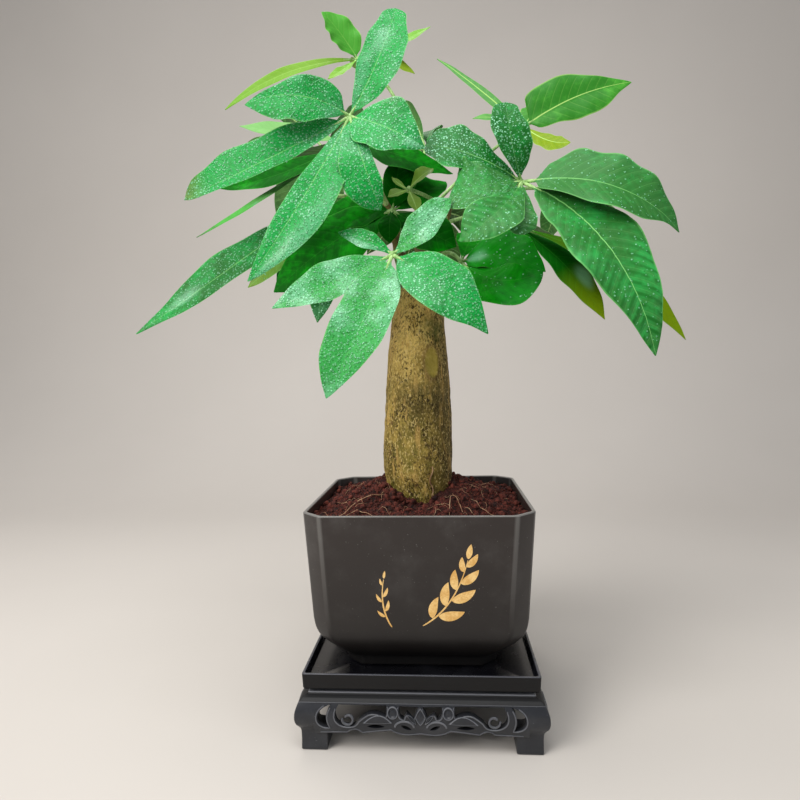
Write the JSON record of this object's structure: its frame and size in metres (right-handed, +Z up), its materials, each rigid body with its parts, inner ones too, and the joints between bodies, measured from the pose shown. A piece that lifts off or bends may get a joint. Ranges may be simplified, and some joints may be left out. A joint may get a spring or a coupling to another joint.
{
  "type": "potted money tree",
  "caption": "Potted money tree: thick bare trunk and palmate leaves, in a square pot with cut corners, on a tray and a low pierced stand.",
  "frame": {"origin": "on the table under the middle of the stand", "axes": "+Z up, front of the pot towards -Y, +X to the right when seen from the front"},
  "size_m": [0.3209, 0.2173, 0.4412],
  "materials": {
    "stand": "satin moulded plastic",
    "tray": "semi-gloss moulded plastic",
    "pot": "satin moulded plastic with a gold print",
    "soil": "loose peat and coir",
    "bark": "rough bark",
    "shoot": "young bark",
    "leaf": "waxy and wet",
    "leaf_dark": "waxy",
    "leaf_young": "waxy"
  },
  "bodies": {
    "root": {"stand": "stand", "tray": "tray", "pot": "pot", "soil": "soil", "trunk": "bark", "shoot_left": "shoot", "shoot_right": "shoot", "shoot_back": "shoot", "leaf_upper_left": "leaf", "leaf_front": "leaf", "leaf_right": "leaf", "leaf_low_left": "leaf", "leaf_back_left": "leaf", "leaf_back_right": "leaf", "leaf_back_high": "leaf", "leaf_low_right": "leaf_dark", "leaf_right_behind": "leaf_dark", "leaf_left_behind": "leaf_dark", "leaf_middle": "leaf_dark", "leaf_back_low": "leaf_dark", "leaf_high_right": "leaf_young", "leaf_high_left": "leaf_young", "leaf_centre": "leaf_young"}
  },
  "joints": []
}
